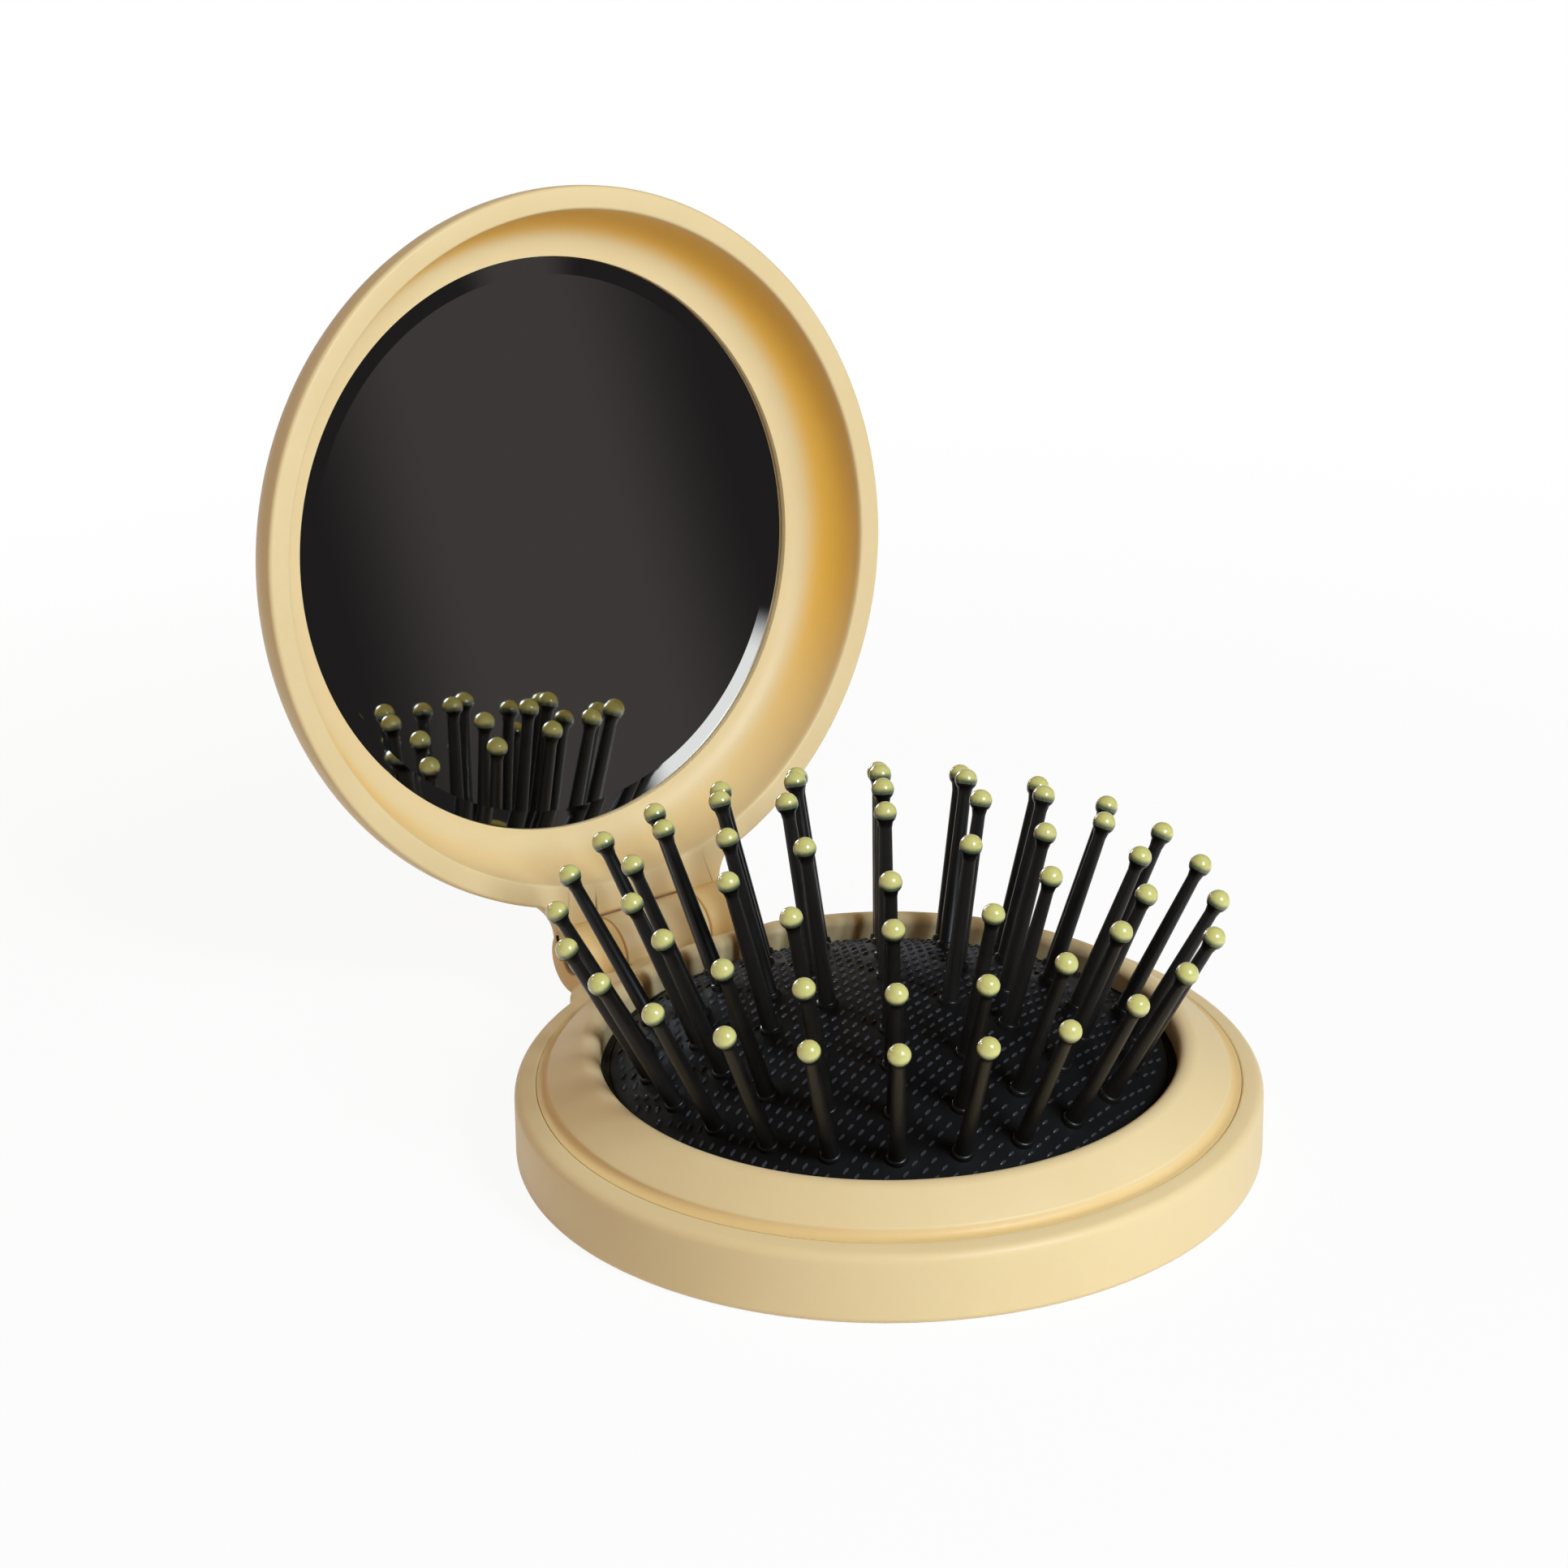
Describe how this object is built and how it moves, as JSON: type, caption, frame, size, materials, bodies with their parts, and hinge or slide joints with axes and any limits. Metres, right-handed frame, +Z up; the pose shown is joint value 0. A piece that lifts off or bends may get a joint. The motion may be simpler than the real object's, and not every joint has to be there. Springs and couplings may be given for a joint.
{
  "type": "folding hairbrush with mirror",
  "caption": "Round folding hairbrush: ball-tipped pins on a domed rubber cushion that drops into the base, and a hinged lid with a bevelled mirror inside.",
  "frame": {"origin": "centre of the base's flat underside, on the axis of the round body", "axes": "+Z up out of the cushion, +Y from the brush towards the hinge and the open lid, +X to the right for someone who looks into the mirror"},
  "size_m": [0.068, 0.096, 0.0763],
  "materials": {
    "cream_plastic": "satin moulded plastic, warm cream",
    "black_rubber": "moulded rubber with a fine raised texture",
    "black_nylon": "smooth black nylon",
    "tip_resin": "glossy dipped resin, pale yellow-green",
    "grey_plastic": "matt moulded plastic",
    "steel": "bright drawn wire",
    "mirror": "silvered glass with a polished bevel",
    "foam_tape": "double-sided foam tape"
  },
  "bodies": {
    "base": {"base_shell": "cream_plastic", "bezel_ring": "cream_plastic", "cushion_skirt": "black_rubber"},
    "carrier": {"push_button": "cream_plastic", "pin_plate": "grey_plastic", "cushion_pad": "black_rubber", "pins_ring_1": "black_nylon", "tips_ring_1": "tip_resin", "pins_ring_2": "black_nylon", "tips_ring_2": "tip_resin"},
    "mid_1": {"pins_mid_1": "black_nylon", "tips_mid_1": "tip_resin"},
    "mid_2": {"pins_mid_2": "black_nylon", "tips_mid_2": "tip_resin"},
    "mid_3": {"pins_mid_3": "black_nylon", "tips_mid_3": "tip_resin"},
    "mid_4": {"pins_mid_4": "black_nylon", "tips_mid_4": "tip_resin"},
    "mid_5": {"pins_mid_5": "black_nylon", "tips_mid_5": "tip_resin"},
    "mid_6": {"pins_mid_6": "black_nylon", "tips_mid_6": "tip_resin"},
    "outer_1": {"pins_outer_1": "black_nylon", "tips_outer_1": "tip_resin"},
    "outer_2": {"pins_outer_2": "black_nylon", "tips_outer_2": "tip_resin"},
    "outer_3": {"pins_outer_3": "black_nylon", "tips_outer_3": "tip_resin"},
    "outer_4": {"pins_outer_4": "black_nylon", "tips_outer_4": "tip_resin"},
    "outer_5": {"pins_outer_5": "black_nylon", "tips_outer_5": "tip_resin"},
    "outer_6": {"pins_outer_6": "black_nylon", "tips_outer_6": "tip_resin"},
    "outer_7": {"pins_outer_7": "black_nylon", "tips_outer_7": "tip_resin"},
    "outer_8": {"pins_outer_8": "black_nylon", "tips_outer_8": "tip_resin"},
    "lid": {"lid_shell": "cream_plastic", "hinge_pin": "steel", "mirror_glass": "mirror", "mirror_tape": "foam_tape"}
  },
  "joints": [
    {"name": "lid_hinge", "type": "hinge", "parent": "base", "child": "lid", "pos_m": [0, 0.0379, 0.0065], "axis": [-1, 0, 0], "range_deg": [-103, 0]},
    {"name": "pad_slide", "type": "slide", "parent": "base", "child": "carrier", "axis": [0, 0, 1], "range_m": [-0.0177, 0], "deforming": ["cushion_skirt"]},
    {"name": "mid_1_lean", "type": "hinge", "parent": "carrier", "child": "mid_1", "pos_m": [-0.00946, -0.01352, 0.01124], "axis": [0.8192, -0.5736, 0], "range_deg": [-16.3, 0]},
    {"name": "mid_2_lean", "type": "hinge", "parent": "carrier", "child": "mid_2", "pos_m": [0.00697, -0.01495, 0.01124], "axis": [0.9063, 0.4226, 0], "range_deg": [-16.3, 0]},
    {"name": "mid_3_lean", "type": "hinge", "parent": "carrier", "child": "mid_3", "pos_m": [0.01644, -0.00144, 0.01124], "axis": [0.0872, 0.9962, 0], "range_deg": [-16.3, 0]},
    {"name": "mid_4_lean", "type": "hinge", "parent": "carrier", "child": "mid_4", "pos_m": [0.00946, 0.01352, 0.01124], "axis": [-0.8192, 0.5736, 0], "range_deg": [-16.3, 0]},
    {"name": "mid_5_lean", "type": "hinge", "parent": "carrier", "child": "mid_5", "pos_m": [-0.00697, 0.01495, 0.01124], "axis": [-0.9063, -0.4226, 0], "range_deg": [-16.3, 0]},
    {"name": "mid_6_lean", "type": "hinge", "parent": "carrier", "child": "mid_6", "pos_m": [-0.01644, 0.00144, 0.01124], "axis": [-0.0872, -0.9962, 0], "range_deg": [-16.3, 0]},
    {"name": "outer_1_lean", "type": "hinge", "parent": "carrier", "child": "outer_1", "pos_m": [-0.01227, -0.01753, 0.00941], "axis": [0.8192, -0.5736, 0], "range_deg": [-23.3, 0]},
    {"name": "outer_2_lean", "type": "hinge", "parent": "carrier", "child": "outer_2", "pos_m": [0.00372, -0.02107, 0.00941], "axis": [0.9848, 0.1736, 0], "range_deg": [-23.3, 0]},
    {"name": "outer_3_lean", "type": "hinge", "parent": "carrier", "child": "outer_3", "pos_m": [0.01753, -0.01227, 0.00941], "axis": [0.5736, 0.8192, 0], "range_deg": [-23.3, 0]},
    {"name": "outer_4_lean", "type": "hinge", "parent": "carrier", "child": "outer_4", "pos_m": [0.02107, 0.00372, 0.00941], "axis": [-0.1736, 0.9848, 0], "range_deg": [-23.3, 0]},
    {"name": "outer_5_lean", "type": "hinge", "parent": "carrier", "child": "outer_5", "pos_m": [0.01227, 0.01753, 0.00941], "axis": [-0.8192, 0.5736, 0], "range_deg": [-23.3, 0]},
    {"name": "outer_6_lean", "type": "hinge", "parent": "carrier", "child": "outer_6", "pos_m": [-0.00372, 0.02107, 0.00941], "axis": [-0.9848, -0.1736, 0], "range_deg": [-23.3, 0]},
    {"name": "outer_7_lean", "type": "hinge", "parent": "carrier", "child": "outer_7", "pos_m": [-0.01753, 0.01227, 0.00941], "axis": [-0.5736, -0.8192, 0], "range_deg": [-23.3, 0]},
    {"name": "outer_8_lean", "type": "hinge", "parent": "carrier", "child": "outer_8", "pos_m": [-0.02107, -0.00372, 0.00941], "axis": [0.1736, -0.9848, 0], "range_deg": [-23.3, 0]}
  ],
  "couplings": [
    {"joint": "pad_slide", "follows": "lid_hinge", "m_per_rad": 0.00979},
    {"joint": "mid_1_lean", "follows": "lid_hinge", "ratio": 0.15534},
    {"joint": "mid_2_lean", "follows": "lid_hinge", "ratio": 0.15534},
    {"joint": "mid_3_lean", "follows": "lid_hinge", "ratio": 0.15534},
    {"joint": "mid_4_lean", "follows": "lid_hinge", "ratio": 0.15534},
    {"joint": "mid_5_lean", "follows": "lid_hinge", "ratio": 0.15534},
    {"joint": "mid_6_lean", "follows": "lid_hinge", "ratio": 0.15534},
    {"joint": "outer_1_lean", "follows": "lid_hinge", "ratio": 0.2233},
    {"joint": "outer_2_lean", "follows": "lid_hinge", "ratio": 0.2233},
    {"joint": "outer_3_lean", "follows": "lid_hinge", "ratio": 0.2233},
    {"joint": "outer_4_lean", "follows": "lid_hinge", "ratio": 0.2233},
    {"joint": "outer_5_lean", "follows": "lid_hinge", "ratio": 0.2233},
    {"joint": "outer_6_lean", "follows": "lid_hinge", "ratio": 0.2233},
    {"joint": "outer_7_lean", "follows": "lid_hinge", "ratio": 0.2233},
    {"joint": "outer_8_lean", "follows": "lid_hinge", "ratio": 0.2233}
  ]
}
